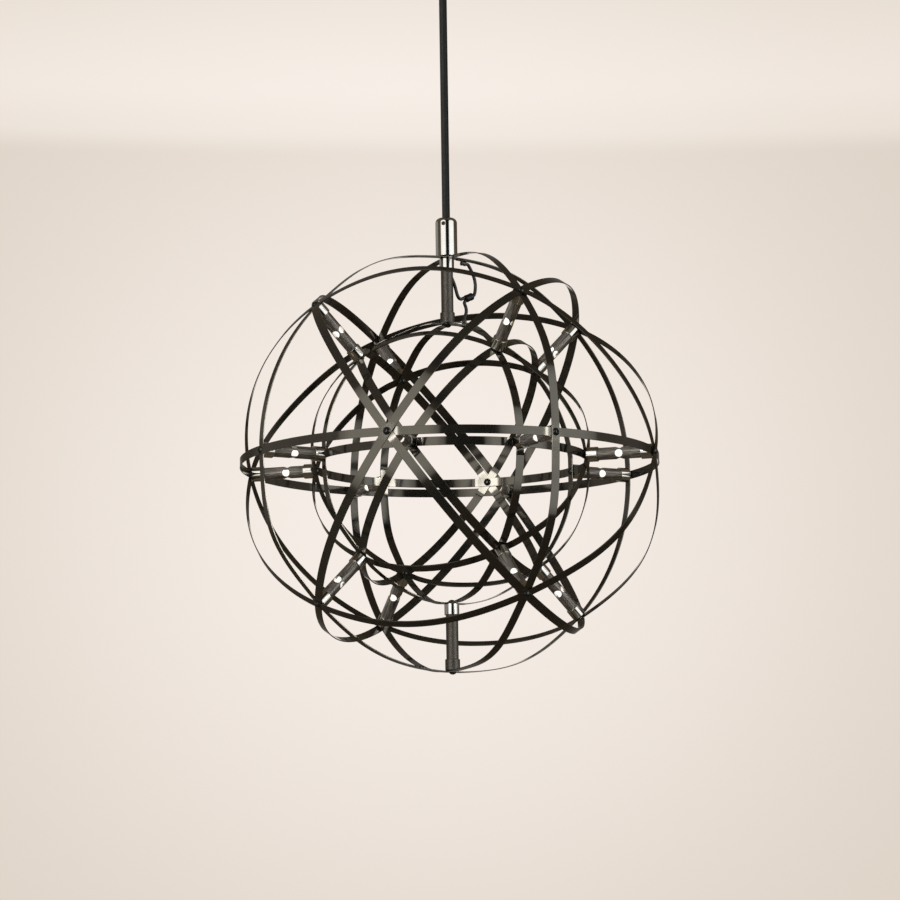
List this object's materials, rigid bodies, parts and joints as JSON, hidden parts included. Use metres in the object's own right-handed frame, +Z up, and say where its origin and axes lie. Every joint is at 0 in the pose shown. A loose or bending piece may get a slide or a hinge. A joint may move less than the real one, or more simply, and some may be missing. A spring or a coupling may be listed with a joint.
{
  "type": "pendant light",
  "caption": "Pendant light with two concentric orbs of polished black nickel strips riveted at every crossing, joined by windowed lamp sleeves, hung on a round black cable.",
  "frame": {"origin": "centre of the ceiling plate's top face, in the plane of the ceiling", "axes": "+Z up, out of the ceiling plate; -Y towards the viewer of the picture; +X to that viewer's right"},
  "size_m": [0.496, 0.4954, 0.8752],
  "materials": {
    "black_nickel": "polished black nickel",
    "black_screws": "gloss black",
    "zinc_steel": "zinc plated",
    "contact_brass": "satin",
    "ceramic": "unglazed ceramic",
    "lamp_glass": "clear, lit",
    "cable_jacket": "satin round jacket",
    "lead_insulation": "satin silicone",
    "driver_case": "matte"
  },
  "bodies": {
    "ceiling": {"ceiling_plate": "zinc_steel", "canopy_cup": "black_nickel", "canopy_screws": "black_screws", "lamp_driver": "driver_case", "mains_block": "ceramic", "cord_grip": "black_nickel", "grip_nut": "zinc_steel", "grip_screw": "black_screws", "cable_head": "cable_jacket"},
    "cable_top": {"cable_bend": "cable_jacket"},
    "pendant": {"cable": "cable_jacket", "stem": "black_nickel", "stem_plug": "black_nickel", "stem_screw": "black_screws"},
    "orb": {"stem_rod": "zinc_steel", "stem_nut": "zinc_steel", "top_tube": "black_nickel", "bottom_tube": "black_nickel", "supply_lead": "lead_insulation", "orb_leads": "lead_insulation", "lead_gather": "lead_insulation", "lead_lugs": "black_nickel", "outer_equator": "black_nickel", "outer_meridian_a": "black_nickel", "outer_meridian_b": "black_nickel", "outer_slant_1": "black_nickel", "outer_slant_2": "black_nickel", "outer_slant_3": "black_nickel", "outer_slant_4": "black_nickel", "inner_equator": "black_nickel", "inner_meridian_a": "black_nickel", "inner_meridian_b": "black_nickel", "inner_slant_1": "black_nickel", "inner_slant_2": "black_nickel", "inner_slant_3": "black_nickel", "inner_slant_4": "black_nickel", "lamp_sleeve_1": "black_nickel", "lamp_sleeve_2": "black_nickel", "lamp_sleeve_3": "black_nickel", "lamp_sleeve_4": "black_nickel", "lamp_sleeve_5": "black_nickel", "lamp_sleeve_6": "black_nickel", "lamp_sleeve_7": "black_nickel", "lamp_sleeve_8": "black_nickel", "lamp_sleeve_9": "black_nickel", "lamp_sleeve_10": "black_nickel", "lamp_sleeve_11": "black_nickel", "lamp_sleeve_12": "black_nickel", "lamp_sleeve_13": "black_nickel", "lamp_sleeve_14": "black_nickel", "lamp_sleeve_15": "black_nickel", "lamp_sleeve_16": "black_nickel", "outer_ferrules": "black_nickel", "inner_ferrules": "black_nickel", "outer_screws": "black_screws", "inner_screws": "black_screws", "lamp_holders": "ceramic", "lamps": "lamp_glass", "lamp_contacts": "contact_brass"}
  },
  "joints": [
    {"name": "swing_front", "type": "hinge", "parent": "ceiling", "child": "cable_top", "pos_m": [0, 0, -0.046], "axis": [1, 0, 0], "range_deg": [-20, 20]},
    {"name": "swing_side", "type": "hinge", "parent": "cable_top", "child": "pendant", "pos_m": [0, 0, -0.06], "axis": [0, 1, 0], "range_deg": [-20, 20]},
    {"name": "orb_turn", "type": "hinge", "parent": "pendant", "child": "orb", "pos_m": [0, 0, -0.375], "axis": [0, 0, 1], "range_deg": [-180, 180]}
  ]
}
